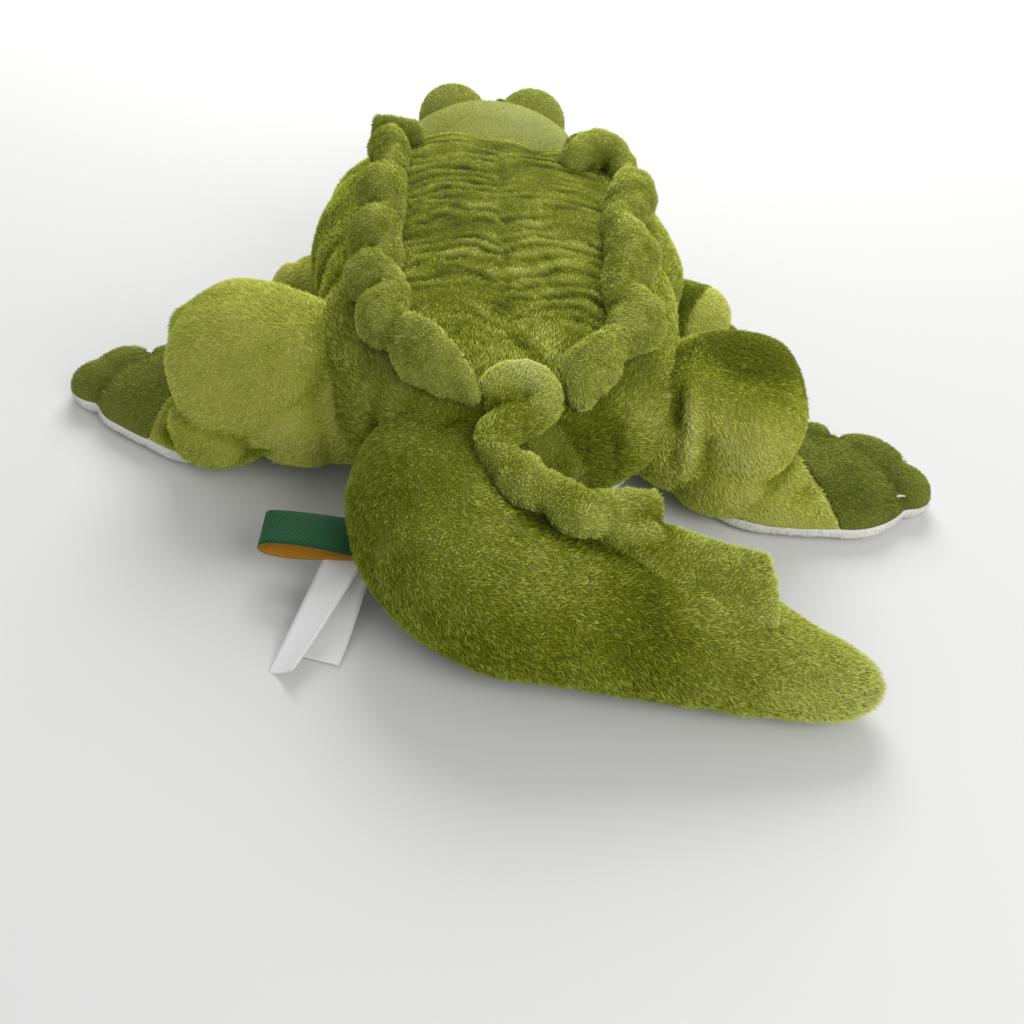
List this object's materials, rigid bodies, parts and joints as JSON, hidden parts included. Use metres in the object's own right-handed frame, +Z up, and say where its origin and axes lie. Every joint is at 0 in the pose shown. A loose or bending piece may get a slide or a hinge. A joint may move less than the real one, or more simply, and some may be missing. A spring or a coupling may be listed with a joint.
{
  "type": "plush crocodile",
  "caption": "Large stuffed crocodile lying on its belly, with a ribbed back, scalloped crests, a curled tail, splayed legs with toed feet, and a hinged lower jaw.",
  "frame": {"origin": "middle of the belly, where it is pressed flat on the floor", "axes": "+Z up, +Y towards the snout, +X to the animal's right"},
  "size_m": [0.4935, 0.5969, 0.1213],
  "materials": {
    "back_plush": "short dark yellow-green plush pile",
    "leg_plush": "short light yellow-green plush pile",
    "foot_plush": "short dark green plush pile",
    "cream_plush": "off-white plush",
    "filling": "white polyester fibre",
    "pouch_cloth": "plain woven pouch of pellets",
    "felt": "off-white felt",
    "mouth_felt": "dull red felt",
    "eye_plastic": "domed amber plastic with a dark pupil",
    "washer_plastic": "white plastic",
    "woven_ribbon": "green twill ribbon, bare",
    "satin_ribbon": "white satin ribbon, bare"
  },
  "bodies": {
    "torso": {"back_cover": "back_plush", "belly_panel": "cream_plush", "torso_filling": "filling", "pellet_pouch": "pouch_cloth", "left_back_crest": "back_plush", "right_back_crest": "back_plush"},
    "tail_root": {"tail_root_cover": "back_plush", "tail_root_filling": "filling", "tail_root_crest": "back_plush", "woven_loop_label": "woven_ribbon", "care_label": "satin_ribbon"},
    "tail_end": {"tail_end_cover": "back_plush", "tail_end_filling": "filling", "tail_end_crest": "back_plush"},
    "head": {"head_cover": "leg_plush", "head_filling": "filling", "upper_mouth_lining": "mouth_felt", "left_teeth": "felt", "right_teeth": "felt", "left_eye_mound": "back_plush", "right_eye_mound": "back_plush", "left_eye": "eye_plastic", "right_eye": "eye_plastic", "left_eye_washer": "washer_plastic", "right_eye_washer": "washer_plastic", "left_nostril": "back_plush", "right_nostril": "back_plush"},
    "lower_jaw": {"lower_jaw_cover": "cream_plush", "lower_jaw_filling": "filling", "lower_mouth_lining": "mouth_felt"},
    "left_hind_leg": {"left_hind_leg_cover": "leg_plush", "left_hind_foot_top": "foot_plush", "left_hind_sole": "cream_plush", "left_hind_leg_filling": "filling"},
    "right_hind_leg": {"right_hind_leg_cover": "leg_plush", "right_hind_foot_top": "foot_plush", "right_hind_sole": "cream_plush", "right_hind_leg_filling": "filling"},
    "left_fore_leg": {"left_fore_leg_cover": "leg_plush", "left_fore_foot_top": "foot_plush", "left_fore_sole": "cream_plush", "left_fore_leg_filling": "filling"},
    "right_fore_leg": {"right_fore_leg_cover": "leg_plush", "right_fore_foot_top": "foot_plush", "right_fore_sole": "cream_plush", "right_fore_leg_filling": "filling"}
  },
  "joints": [
    {"name": "tail_base_bend", "type": "hinge", "parent": "torso", "child": "tail_root", "pos_m": [0, -0.111, 0.05], "axis": [0, 0, 1], "range_deg": [-12, 12], "stiffness_Nm_per_rad": 0.4},
    {"name": "tail_tip_bend", "type": "hinge", "parent": "tail_root", "child": "tail_end", "pos_m": [0.03473, -0.20172, 0.03237], "axis": [0, 0, 1], "range_deg": [-15, 15], "stiffness_Nm_per_rad": 0.2},
    {"name": "head_turn", "type": "hinge", "parent": "torso", "child": "head", "pos_m": [0, 0.16, 0.052], "axis": [0, 0, 1], "range_deg": [-12, 12], "stiffness_Nm_per_rad": 0.5},
    {"name": "jaw_open", "type": "hinge", "parent": "head", "child": "lower_jaw", "pos_m": [0, 0.23212, 0.0175], "axis": [-1, 0, 0], "range_deg": [0, 10], "stiffness_Nm_per_rad": 0.3, "springref_deg": -5.73},
    {"name": "left_hind_leg_swing", "type": "hinge", "parent": "torso", "child": "left_hind_leg", "pos_m": [-0.08096, -0.05941, 0.042], "axis": [0, 0, 1], "range_deg": [-12, 12], "stiffness_Nm_per_rad": 0.25},
    {"name": "right_hind_leg_swing", "type": "hinge", "parent": "torso", "child": "right_hind_leg", "pos_m": [0.08096, -0.05941, 0.042], "axis": [0, 0, 1], "range_deg": [-12, 12], "stiffness_Nm_per_rad": 0.25},
    {"name": "left_fore_leg_swing", "type": "hinge", "parent": "torso", "child": "left_fore_leg", "pos_m": [-0.08304, 0.08324, 0.033], "axis": [0, 0, 1], "range_deg": [-12, 12], "stiffness_Nm_per_rad": 0.12},
    {"name": "right_fore_leg_swing", "type": "hinge", "parent": "torso", "child": "right_fore_leg", "pos_m": [0.08304, 0.08324, 0.033], "axis": [0, 0, 1], "range_deg": [-12, 12], "stiffness_Nm_per_rad": 0.12}
  ]
}
